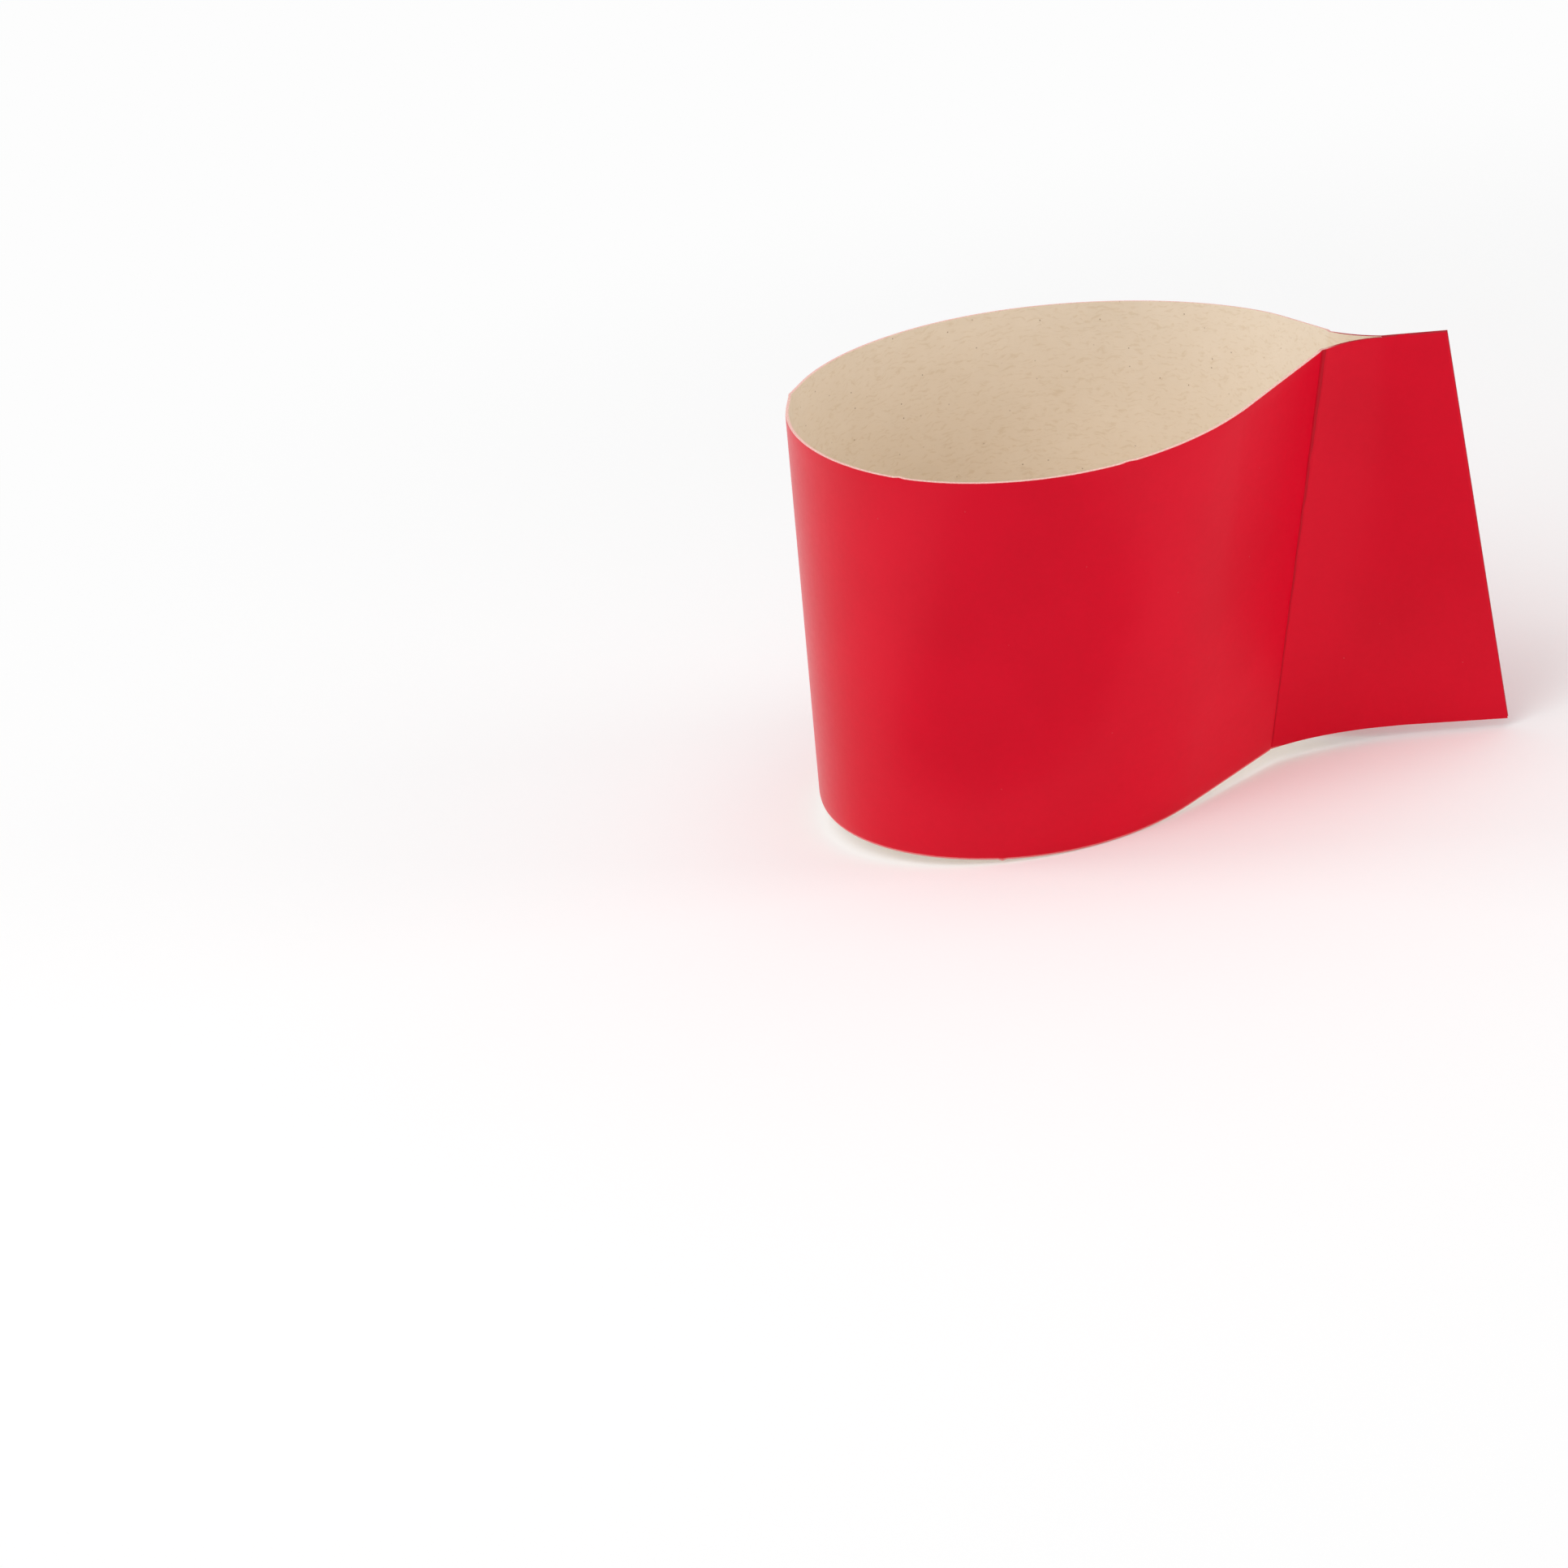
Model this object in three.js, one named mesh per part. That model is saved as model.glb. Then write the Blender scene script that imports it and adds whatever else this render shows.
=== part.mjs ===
// A takeaway cup sleeve: one die-cut strip of card, folded in half, with its two ends glued face to face
// as a flat handle tab. It is opened round and stands on its lower edge, the tab along +X.
// Millimetres and degrees, +Z up. The two halves of the strip mirror each other across the plane Y = 0.
import * as THREE from "three";

// The card and the flat blank
const CARD = 0.5;
const STRIP_WIDTH = 64.2;
const FOLDED_LENGTH = 141.4;

// The round: the inner face is a cone, and this is its radius at the lower end of the fold
const LOWER_RADIUS = 33.3;
const CONE_HALF_ANGLE = 4.82;
const FOLD_HALF_ANGLE = 8;

// The slanted crease at the tab's root. Each edge's plan is drawn at the height of its fold end:
// how far the crease stands beyond the round, half the space between the two leaves there,
// and the angle at which a leaf leaves the crease before it bends flat into the tab.
const LOWER_CREASE = { beyond: 3.9, gap: 5.3, lead: 29.7 };
const UPPER_CREASE = { beyond: 3.5, gap: 3.8, lead: 42.9 };
const GROOVE_WIDTH = 0.8;
const GROOVE_DEPTH = 0.15;

// The glued tab: the slit left at the glue's edge, and the V between the two cut edges
const GLUE_SLIT = 0.2;
const SEAM_DEPTH = 0.15;

// Facets along one half of the strip
const ROUND_STEPS = 56;
const RUN_STEPS = 10;
const BEND_STEPS = 12;
const GLUED_STEPS = 3;

// The search for the resting tilt: its steepest in degrees, and its finest step in radians
const STEEPEST_TILT = 25;
const TILT_STEP = 1e-6;

const radians = THREE.MathUtils.degToRad;
const coneAngle = radians(CONE_HALF_ANGLE);
const lowerReach = LOWER_RADIUS / Math.sin(coneAngle);

// Card coated red on its outer face
function redCard() {
  return new THREE.MeshStandardMaterial({ color: 0xd00e26, roughness: 0.45, metalness: 0 });
}

// Direction, seen from the axis, in which a leaf leaves the round and runs straight to its crease
function leavingAngle(radius, crease) {
  const reach = radius + crease.beyond;
  return Math.atan2(crease.gap, reach) + Math.acos(radius / Math.hypot(reach, crease.gap));
}

// Plan of one edge's inner face at the height of its fold end, from the fold to where the tab is flat.
// Both edges follow the round as far as roundEnd, so that lines between them run along the cone.
// groove marks the crease's point, and glue the last point at which the two leaves are apart.
function edgePlan(radius, crease, roundEnd) {
  const points = [];
  const fold = radians(FOLD_HALF_ANGLE);
  const onRound = (angle) => new THREE.Vector2(radius * Math.cos(angle), radius * Math.sin(angle));
  points.push(new THREE.Vector2(-radius / Math.cos(fold), 0));
  for (let i = 0; i <= ROUND_STEPS; i++) {
    points.push(onRound(THREE.MathUtils.lerp(Math.PI - fold, roundEnd, i / ROUND_STEPS)));
  }

  const reach = radius + crease.beyond;
  const root = new THREE.Vector2(reach, crease.gap);
  const tangent = leavingAngle(radius, crease);
  const arc = radius * (roundEnd - tangent);
  const run = root.clone().sub(onRound(tangent));
  const toGroove = arc + run.length() - GROOVE_WIDTH / 2;
  for (let i = 1; i <= RUN_STEPS; i++) {
    const way = (toGroove * i) / RUN_STEPS;
    const onArc = onRound(roundEnd - Math.min(way, arc) / radius);
    points.push(onArc.addScaledVector(run, Math.max(way - arc, 0) / run.length()));
  }
  points.push(root);
  const groove = points.length - 1;

  const lead = radians(crease.lead);
  const bendRadius = crease.gap / (1 - Math.cos(lead));
  const bendEnd = reach + bendRadius * Math.sin(lead);
  const bendStart = lead - GROOVE_WIDTH / 2 / bendRadius;
  const glueAngle = Math.acos(1 - GLUE_SLIT / 2 / bendRadius);
  const onBend = (angle) =>
    new THREE.Vector2(bendEnd - bendRadius * Math.sin(angle), bendRadius * (1 - Math.cos(angle)));
  for (let i = 0; i <= BEND_STEPS; i++) {
    points.push(onBend(THREE.MathUtils.lerp(bendStart, glueAngle, i / BEND_STEPS)));
  }
  const glue = points.length - 1;
  for (let i = 1; i <= GLUED_STEPS; i++) {
    points.push(onBend(THREE.MathUtils.lerp(glueAngle, 0, i / GLUED_STEPS)));
  }
  return { points, groove, glue };
}

// The edge itself, with the cone's apex at the origin. A straight edge of the flat strip lies at one distance
// from the apex, measured square to the edge, so it climbs as it winds round from the fold to the tab.
function edgeCurve(apexDistance, crease, roundEnd) {
  const plan = edgePlan(apexDistance * Math.sin(coneAngle), crease, roundEnd);
  const height = apexDistance * Math.cos(coneAngle);
  const rays = plan.points.map((p) => new THREE.Vector3(p.x, p.y, height).normalize());
  const curve = [];
  let unrolled = 0;
  let length = 0;
  rays.forEach((ray, i) => {
    if (i > 0) {
      unrolled += ray.angleTo(rays[i - 1]);
    }
    curve.push(ray.clone().multiplyScalar(apexDistance / Math.cos(unrolled)));
    if (i > 0) {
      length += curve[i].distanceTo(curve[i - 1]);
    }
  });

  // The rest of the strip lies flat in the tab
  const last = rays.at(-1);
  const end = Math.atan(Math.tan(unrolled) + (FOLDED_LENGTH - length) / apexDistance);
  const heading = Math.atan2(last.x, last.z) + end - unrolled;
  const tip = new THREE.Vector3(Math.sin(heading), 0, Math.cos(heading));
  curve.push(tip.multiplyScalar(apexDistance / Math.cos(end)));
  return { curve, groove: plan.groove, glue: plan.glue };
}

// Outward direction at each station, long enough to carry the card's thickness round a corner
function mitres(lower, upper) {
  const facing = [];
  for (let i = 0; i + 1 < lower.length; i++) {
    const along = lower[i + 1].clone().sub(lower[i]).add(upper[i + 1]).sub(upper[i]);
    const across = upper[i].clone().sub(lower[i]).add(upper[i + 1]).sub(lower[i + 1]);
    facing.push(across.cross(along).normalize());
  }
  const foldTwin = facing[0].clone().multiply(new THREE.Vector3(1, -1, 1));
  const tip = facing.at(-1);
  return lower.map((_, i) => {
    const before = i === 0 ? foldTwin : facing[i - 1];
    const after = facing[i] ?? tip;
    return before.clone().add(after).divideScalar(1 + before.dot(after));
  });
}

// Inner and outer points of the leaf on the +Y side
function leaf() {
  const upperReach = lowerReach + STRIP_WIDTH;
  const roundEnd = Math.max(
    leavingAngle(LOWER_RADIUS, LOWER_CREASE),
    leavingAngle(upperReach * Math.sin(coneAngle), UPPER_CREASE),
  );
  const lower = edgeCurve(lowerReach, LOWER_CREASE, roundEnd);
  const upper = edgeCurve(upperReach, UPPER_CREASE, roundEnd);
  const outward = mitres(lower.curve, upper.curve);
  const outer = (point, i) => {
    const thickness = i === lower.groove ? CARD - GROOVE_DEPTH : CARD;
    return point.clone().addScaledVector(outward[i], thickness);
  };
  return {
    innerLower: lower.curve,
    innerUpper: upper.curve,
    outerLower: lower.curve.map(outer),
    outerUpper: upper.curve.map(outer),
    glue: lower.glue,
  };
}

// Vertices and faces of the closed solid. Both leaves are made by one pass each, mirrored across Y = 0.
function sleeveGeometry() {
  const half = leaf();
  const tip = half.innerLower.length - 1;
  const positions = [];
  const faces = [];

  const add = (point, side) => {
    positions.push(point.x, point.y * side, point.z);
    return positions.length / 3 - 1;
  };
  const quad = (side, a, b, c, d) => {
    faces.push(...(side > 0 ? [a, b, c, a, c, d] : [c, b, a, d, c, a]));
  };

  // Points on the mirror plane are shared: the fold, and the V of the seam in the glued tab
  const onPlane = (point) => add(new THREE.Vector3(point.x, 0, point.z), 1);
  const fold = {
    innerLower: onPlane(half.innerLower[0]),
    innerUpper: onPlane(half.innerUpper[0]),
    outerLower: onPlane(half.outerLower[0]),
    outerUpper: onPlane(half.outerUpper[0]),
  };
  const seamLower = [];
  const seamUpper = [];
  const endward = half.innerLower[tip].clone().sub(half.innerLower[tip - 1]).setLength(SEAM_DEPTH);
  for (let i = half.glue + 1; i <= tip; i++) {
    const inward = half.innerUpper[i].clone().sub(half.innerLower[i]).setLength(SEAM_DEPTH);
    const lower = half.innerLower[i].clone().add(inward);
    const upper = half.innerUpper[i].clone().sub(inward);
    if (i === tip) {
      lower.sub(endward);
      upper.sub(endward);
    }
    seamLower[i] = onPlane(lower);
    seamUpper[i] = onPlane(upper);
  }

  const slit = {};
  for (const side of [1, -1]) {
    const index = (name, last) =>
      half[name].slice(0, last + 1).map((point, i) => (i === 0 ? fold[name] : add(point, side)));
    const innerLower = index("innerLower", half.glue);
    const innerUpper = index("innerUpper", half.glue);
    const outerLower = index("outerLower", tip);
    const outerUpper = index("outerUpper", tip);
    for (let i = 0; i < tip; i++) {
      quad(side, outerLower[i], outerUpper[i], outerUpper[i + 1], outerLower[i + 1]);
      if (i < half.glue) {
        quad(side, innerLower[i], innerLower[i + 1], innerUpper[i + 1], innerUpper[i]);
      }
      const lowerIn = i < half.glue ? innerLower[i + 1] : seamLower[i + 1];
      const upperIn = i < half.glue ? innerUpper[i + 1] : seamUpper[i + 1];
      quad(side, innerLower[i] ?? seamLower[i], outerLower[i], outerLower[i + 1], lowerIn);
      quad(side, upperIn, outerUpper[i + 1], outerUpper[i], innerUpper[i] ?? seamUpper[i]);
    }
    quad(side, seamLower[tip], outerLower[tip], outerUpper[tip], seamUpper[tip]);
    slit[side] = { lower: innerLower[half.glue], upper: innerUpper[half.glue] };
  }

  // The end of the hollow between the leaves, at the edge of the glue
  const near = slit[-1];
  const far = slit[1];
  quad(1, far.lower, near.lower, near.upper, far.upper);
  faces.push(near.lower, far.lower, seamLower[half.glue + 1]);
  faces.push(far.upper, near.upper, seamUpper[half.glue + 1]);

  const geometry = new THREE.BufferGeometry();
  geometry.setAttribute("position", new THREE.Float32BufferAttribute(positions, 3));
  geometry.setIndex(faces);
  geometry.computeVertexNormals();
  return geometry;
}

// Centre of mass of a closed mesh, by the signed volumes of its faces' tetrahedra
function centreOfMass(geometry) {
  const position = geometry.getAttribute("position");
  const corner = [0, 1, 2].map(() => new THREE.Vector3());
  const centre = new THREE.Vector3();
  let volume = 0;
  for (let i = 0; i < geometry.index.count; i += 3) {
    corner.forEach((c, k) => c.fromBufferAttribute(position, geometry.index.getX(i + k)));
    const part = corner[0].dot(corner[1].clone().cross(corner[2])) / 6;
    corner.forEach((c) => centre.addScaledVector(c, part / 4));
    volume += part;
  }
  return centre.divideScalar(volume);
}

// The curved lower edge is a shallow rocker. The tilt about Y at which the sleeve comes to rest
// is the one with its centre of mass lowest above the table.
function restingTilt(geometry) {
  const centre = centreOfMass(geometry);
  const position = geometry.getAttribute("position");
  const depth = (x, z, tilt) => z * Math.cos(tilt) - x * Math.sin(tilt);
  const height = (tilt) => {
    let lowest = Infinity;
    for (let i = 0; i < position.count; i++) {
      lowest = Math.min(lowest, depth(position.getX(i), position.getZ(i), tilt));
    }
    return depth(centre.x, centre.z, tilt) - lowest;
  };
  let low = 0;
  let high = radians(STEEPEST_TILT);
  while (high - low > TILT_STEP) {
    const third = (high - low) / 3;
    if (height(low + third) < height(high - third)) {
      high -= third;
    } else {
      low += third;
    }
  }
  return (low + high) / 2;
}

// Stands the sleeve at rest with the middle of its bounding box's base on the origin
function standingSleeve() {
  const geometry = sleeveGeometry();
  const mesh = new THREE.Mesh(geometry, redCard());
  mesh.name = "sleeve";
  mesh.rotation.y = restingTilt(geometry);
  const box = new THREE.Box3().setFromObject(mesh, true);
  const middle = box.getCenter(new THREE.Vector3());
  mesh.position.set(-middle.x, -middle.y, -box.min.z);
  return mesh;
}

const sleeve = new THREE.Group();
sleeve.add(standingSleeve());

export default sleeve;
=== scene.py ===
# A takeaway cup sleeve: one strip of red coated card, folded in half, its two ends glued as a flat tab.
# Laid out as an add-on and run as a script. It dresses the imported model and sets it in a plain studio.
from math import acos, atan, atan2, cos, hypot, pi, radians, sin, tan

import bmesh
import bpy
from bpy.props import FloatProperty, FloatVectorProperty, IntProperty, PointerProperty, StringProperty
from bpy.types import Operator, Panel, PropertyGroup
from mathutils import Matrix, Vector, noise


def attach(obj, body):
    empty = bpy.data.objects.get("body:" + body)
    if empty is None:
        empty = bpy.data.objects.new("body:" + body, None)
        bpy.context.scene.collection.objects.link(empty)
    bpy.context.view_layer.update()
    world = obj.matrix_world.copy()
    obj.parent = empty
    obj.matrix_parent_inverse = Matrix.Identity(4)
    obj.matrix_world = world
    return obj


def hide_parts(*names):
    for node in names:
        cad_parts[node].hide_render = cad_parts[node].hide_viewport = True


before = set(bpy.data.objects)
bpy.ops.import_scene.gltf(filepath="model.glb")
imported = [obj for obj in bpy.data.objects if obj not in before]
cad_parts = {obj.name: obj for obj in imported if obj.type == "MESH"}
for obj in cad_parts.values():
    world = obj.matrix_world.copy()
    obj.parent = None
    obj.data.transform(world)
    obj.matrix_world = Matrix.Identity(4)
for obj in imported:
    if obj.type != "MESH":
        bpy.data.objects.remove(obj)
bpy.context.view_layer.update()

bl_info = {
    "name": "Cup Sleeve",
    "version": (1, 0, 0),
    "blender": (4, 5, 0),
    "location": "3D View > Sidebar > Cup Sleeve",
    "description": "Folds a card cup sleeve with a glued tab and lights it on a plain floor",
    "category": "Add Mesh",
}

NODE = "sleeve"
MM = 0.001

# The flat blank is laid out in the UV map at this many metres a unit, with the fold in the middle:
# the printed face at the bottom, above it the inner face, and at the top the cut edges
UV_METRES = 0.3
FOLD_U = 0.5
INNER_FACE_V = 0.3
EDGE_V = 0.6
TAB_END_U = 0.01


def linear(code):
    """Scene-linear red, green and blue of an sRGB hex colour."""
    channels = [int(code[i:i + 2], 16) / 255 for i in (0, 2, 4)]
    return [c / 12.92 if c <= 0.04045 else ((c + 0.055) / 1.055) ** 2.4 for c in channels]


def length(name, description, millimetres):
    """A size in the sleeve's settings, given in millimetres and kept in metres."""
    return FloatProperty(name=name, description=description, default=millimetres * MM, precision=5,
                         unit="LENGTH")


def angle(name, description, degrees):
    """An angle in the settings, given in degrees."""
    return FloatProperty(name=name, description=description, default=radians(degrees), subtype="ANGLE")


def colour(name, description, code):
    """A colour in the settings, given as an sRGB hex code."""
    return FloatVectorProperty(name=name, description=description, default=linear(code), size=3,
                               min=0, max=1, subtype="COLOR")


def watts(name, description, power):
    """A lamp's power in the settings, in watts."""
    return FloatProperty(name=name, description=description, default=power, min=0, unit="POWER")


class SleeveSizes(PropertyGroup):
    """Sizes of the card strip, its round and its creases."""

    card: length("Card thickness", "Thickness of the card", 0.5)
    strip_width: length("Strip width", "Width of the flat strip, from its lower edge to its upper one", 64.2)
    folded_length: length("Folded length", "Length of the strip once folded in half", 141.4)
    lower_radius: length("Lower radius", "Radius of the inner face at the lower end of the fold", 33.3)
    cone_half_angle: angle("Cone half angle", "Slope of the round wall from its axis", 4.82)
    fold_half_angle: angle("Fold half angle", "How far each half turns away at the fold", 8)
    lower_beyond: length("Lower crease beyond round", "How far the crease's lower end clears the round", 3.9)
    lower_gap: length("Lower crease gap", "Half the space between the halves at the crease's lower end", 5.3)
    lower_lead: angle("Lower crease lead", "Angle at which the card leaves the crease's lower end", 29.7)
    upper_beyond: length("Upper crease beyond round", "How far the crease's upper end clears the round", 3.5)
    upper_gap: length("Upper crease gap", "Half the space between the halves at the crease's upper end", 3.8)
    upper_lead: angle("Upper crease lead", "Angle at which the card leaves the crease's upper end", 42.9)
    groove_width: length("Groove width", "Width of the rule's mark along the crease", 0.8)
    groove_depth: length("Groove depth", "Depth of the rule's mark along the crease", 0.15)
    glue_slit: length("Glue slit", "Space between the halves where the glue starts", 0.2)
    seam_depth: length("Seam depth", "Depth of the V between the two cut edges of the tab", 0.15)
    waviness: length("Waviness", "How far the card stands in or out of its true shape", 0.06)
    belly: length("Belly", "How far the lower edge bulges beside the fold, where the round is slack", 0.6)
    wave_spacing: length("Wave spacing", "Distance between the soft waves in the card", 26)
    rows: IntProperty(name="Rows", description="Faces across the strip", default=34, min=4, max=80)


class SleeveColours(PropertyGroup):
    """Colours of the printed face, the inner face and the cut edges."""

    red: colour("Red", "Printed face of the card", "e00026")
    deep_red: colour("Deep red", "Where the print is densest", "d80023")
    # Darker along the crease: partly the pressed print, partly painted shade in its groove
    crease_red_and_shade: colour("Crease red", "Along the rule's mark", "ae0018")
    worn_red: colour("Worn red", "Along the outer fold, where the coating is stretched", "dc4a50")
    inner: colour("Inner face", "Uncoated board inside", "fbecd8")
    fibre: colour("Fibres", "Darker fibres in the uncoated board", "e0c8a5")
    speck: colour("Specks", "Scattered specks in the uncoated board", "9c7b55")
    cut: colour("Cut edge", "Pale core of the card at its cut edges", "f7b3b0")
    inked_cut: colour("Inked cut edge", "Cut edges of the tab, darkened by ink and glue", "b00c24")


class StudioSettings(PropertyGroup):
    """The floor, the lamps and the camera."""

    floor: colour("Floor", "Floor and background", "fdfdfd")
    floor_size: length("Floor size", "Width of the floor", 8000)
    floor_near: length("Floor fade start", "Distance at which the floor starts to turn white", 110)
    floor_far: length("Floor fade end", "Distance from which the floor is white", 360)
    front_power: watts("Front power", "Power of the large lamp in front", 3.2)
    left_power: watts("Left power", "Power of the low lamp that draws the soft band on the left", 1.75)
    right_power: watts("Right power", "Power of the low lamp that draws the band before the crease", 2.0)
    top_power: watts("Top power", "Power of the large lamp overhead", 4.2)
    world_strength: FloatProperty(name="World strength", description="Even light from all round",
                                  default=0.5, min=0)
    floor_lift: FloatProperty(name="Floor lift", description="Light that the floor adds where it is seen",
                              default=0.07, min=0)
    card_low: FloatVectorProperty(name="Dark card start", description="Near left corner of the dark card",
                                  default=(-95 * MM, -420 * MM), size=2, subtype="TRANSLATION",
                                  unit="LENGTH")
    card_high: FloatVectorProperty(name="Dark card end", description="Far right corner of the dark card",
                                   default=(54 * MM, -52 * MM), size=2, subtype="TRANSLATION",
                                   unit="LENGTH")
    azimuth: angle("Camera azimuth", "Turn of the camera about the upright axis", 17.296)
    elevation: angle("Camera elevation", "Height of the camera above the horizon", 22.518)
    roll: angle("Camera roll", "Turn of the camera about its own axis", -12.335)
    distance: length("Camera distance", "From the camera to the point that it looks at", 795)
    lens: FloatProperty(name="Lens", description="Focal length", default=117.875, min=1, unit="CAMERA")
    sensor: FloatProperty(name="Sensor", description="Width of the sensor", default=36, min=1, unit="CAMERA")
    aim: FloatVectorProperty(name="Aim", description="Point that the camera looks at", size=3,
                             default=(-52.6 * MM, -30.8 * MM, 15.4 * MM), subtype="TRANSLATION",
                             unit="LENGTH", precision=5)


# Steps along one half of the strip: the fold's rounding, the round, the straight run, the crease's rounding,
# the bend behind it, the last of the bend inside the glue, and the flat tab
FOLD_STEPS = 4
ROUND_STEPS = 110
RUN_STEPS = 26
CREASE_STEPS = 8
BEND_STEPS = 44
GLUED_STEPS = 8
TAB_STEPS = 70

# Rows kept close together at each edge, so that its soft corner has its own faces: their distances from the
# edge, how far the corner is drawn in, how far the cut edge bulges, and the faces across it
EDGE_ROWS = (0.0, 0.12 * MM, 0.4 * MM)
CORNER_DRAW = 0.06 * MM
CUT_BULGE = 0.03 * MM
CUT_STEPS = 4

# The fold's outer corner is a rounded ridge this wide that stands proud by this much
FOLD_RIDGE_WIDTH = 1.4 * MM
FOLD_RIDGE = 0.05 * MM

# Nicks left by the cutting die on the near half: distance along the strip from the fold, and how far each
# stands out
UPPER_NICKS = (
    (46.2 * MM, 0.24 * MM),
    (81.5 * MM, 0.28 * MM),
    (132.4 * MM, 0.22 * MM),
    (133.4 * MM, 0.22 * MM),
)
LOWER_NICKS = ((54.3 * MM, 0.24 * MM),)
NICK_WIDTH = 0.75 * MM

# The belly's middle and reach along the strip from the fold, and the share of the width where it turns in
BELLY_ALONG = 28 * MM
BELLY_REACH = 26 * MM
BELLY_TURN = 0.75

# Soft waves are this many times as long across the strip as along it
WAVE_STRETCH = 1.6

# How far into the face a nick at the edge draws the card along
NICK_REACH = 3 * MM

# The groove is this share of its depth once the springy card has come back after the rule
GROOVE_LEFT = 0.6

# Corners closer than this are one, and edges that turn more than this are sharp
WELD = 0.5e-6
SHARP_EDGE = radians(35)

# Grains of the printed face in millimetres, and the heights of its relief
INK_CLOUD = 24.0
INK_MOTTLE = 1.1
SCUFF = 0.8
KNIFE_RAG = 0.5
PEEL = 0.7
PEEL_HEIGHT = 0.004 * MM
SWELL = 5.0
SWELL_HEIGHT = 0.03 * MM

# Pinholes in the print, in millimetres. Real ones are under 0.1 mm, and are drawn at 0.3 mm so that they show
PINHOLE_SPACING = 16.0
PINHOLE_RADIUS = 0.15

# The crease's dark line in millimetres: how far its core and its edge reach, and the length of its wavering
# The dark line is partly the pressed print and partly painted shade in the groove
CREASE_LINE_CORE = 0.1
CREASE_LINE_EDGE = 0.27
CREASE_WAVER = 5.0

# Distances past the crease in millimetres where the cut edges start to turn from bare to inked, and are inked
INK_START = -1.5
INK_FULL = 2.5

# The bare board in millimetres. Its fibres are 1 to 3 mm long, and 0.03 mm thick ones are drawn at 0.2 mm
FIBRE = 0.45
FIBRE_STRETCH = 0.22
FIBRE_BEND = 3.0
FIBRE_SWING = 2.4
FIBRE_HEIGHT = 0.025 * MM
PULP_CLOUD = 6.0
PULP_HEIGHT = 0.05 * MM
SPECK_SPACING = 5.0
SPECK_RADIUS = 0.15

# The grain of the cut edge in millimetres, and its height
CUT_GRAIN = 0.35
CUT_HEIGHT = 0.04 * MM

# Grains of the floor's paint and of the black paper, the paper's colours and its height off the floor
FLOOR_GRAIN = 1.1 * MM
PAPER_GRAIN = 0.8 * MM
PAPER_DARK = "070707"
PAPER_PALE = "121212"
PAPER_LIFT = 0.5 * MM

# The lamps face this point, and the camera sees from and to these distances in metres
LAMP_AIM = (0, 0, 30 * MM)
CLIP_NEAR = 0.05
CLIP_FAR = 50


def mix(a, b, share):
    """A value between a and b."""
    return a + (b - a) * share


def bump(distance, width):
    """1 at distance 0, falling smoothly to 0 at width."""
    near = max(0.0, 1 - abs(distance) / width)
    return near * near * (3 - 2 * near)


class Crease:
    """One end of the slanted crease at the tab's root."""

    def __init__(self, beyond, gap, lead):
        self.beyond = beyond
        self.gap = gap
        self.lead = lead

    def leaving(self, radius):
        """Direction, seen from the axis, in which a half leaves the round and runs straight to its crease."""
        reach = radius + self.beyond
        return atan2(self.gap, reach) + acos(radius / hypot(reach, self.gap))


def fold_plan(radius, sizes):
    """From the fold to where the round starts, with the corner at the fold softened."""
    start = pi - sizes.fold_half_angle
    corner = Vector((-radius / cos(sizes.fold_half_angle), 0))
    first = Vector((radius * cos(start), radius * sin(start)))
    along = (first - corner).normalized()
    points = []
    for i in range(FOLD_STEPS + 1):
        way = FOLD_RIDGE_WIDTH / 2 * i / FOLD_STEPS
        points.append(corner + along * way)
    return points


def edge_plan(radius, crease, round_end, sizes):
    """Plan of one edge's inner face at the height of its fold end, from the fold to where the tab is flat.

    Returns the points, the first and last point of the crease's rounding, and where the glue starts.
    """
    def on_round(turn):
        return Vector((radius * cos(turn), radius * sin(turn)))

    points = fold_plan(radius, sizes)
    start = pi - sizes.fold_half_angle
    for i in range(ROUND_STEPS + 1):
        points.append(on_round(mix(start, round_end, i / ROUND_STEPS)))

    reach = radius + crease.beyond
    root = Vector((reach, crease.gap))
    tangent = crease.leaving(radius)
    arc = radius * (round_end - tangent)
    run = root - on_round(tangent)
    to_groove = arc + run.length - sizes.groove_width / 2
    for i in range(1, RUN_STEPS + 1):
        way = to_groove * i / RUN_STEPS
        on_arc = on_round(round_end - min(way, arc) / radius)
        points.append(on_arc + run * (max(way - arc, 0) / run.length))

    bend_radius = crease.gap / (1 - cos(crease.lead))
    bend_end = reach + bend_radius * sin(crease.lead)
    bend_start = crease.lead - sizes.groove_width / 2 / bend_radius
    glue_angle = acos(1 - sizes.glue_slit / 2 / bend_radius)

    def on_bend(turn):
        return Vector((bend_end - bend_radius * sin(turn), bend_radius * (1 - cos(turn))))

    crease_start = len(points) - 1
    before = points[-1]
    after = on_bend(bend_start)
    for i in range(1, CREASE_STEPS + 1):
        share = i / CREASE_STEPS
        points.append(before.lerp(root, share).lerp(root.lerp(after, share), share))
    crease_end = len(points) - 1

    for i in range(1, BEND_STEPS + 1):
        points.append(on_bend(mix(bend_start, glue_angle, i / BEND_STEPS)))
    glue = len(points) - 1
    for i in range(1, GLUED_STEPS + 1):
        points.append(on_bend(mix(glue_angle, 0, i / GLUED_STEPS)))
    return points, crease_start, crease_end, glue


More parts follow.
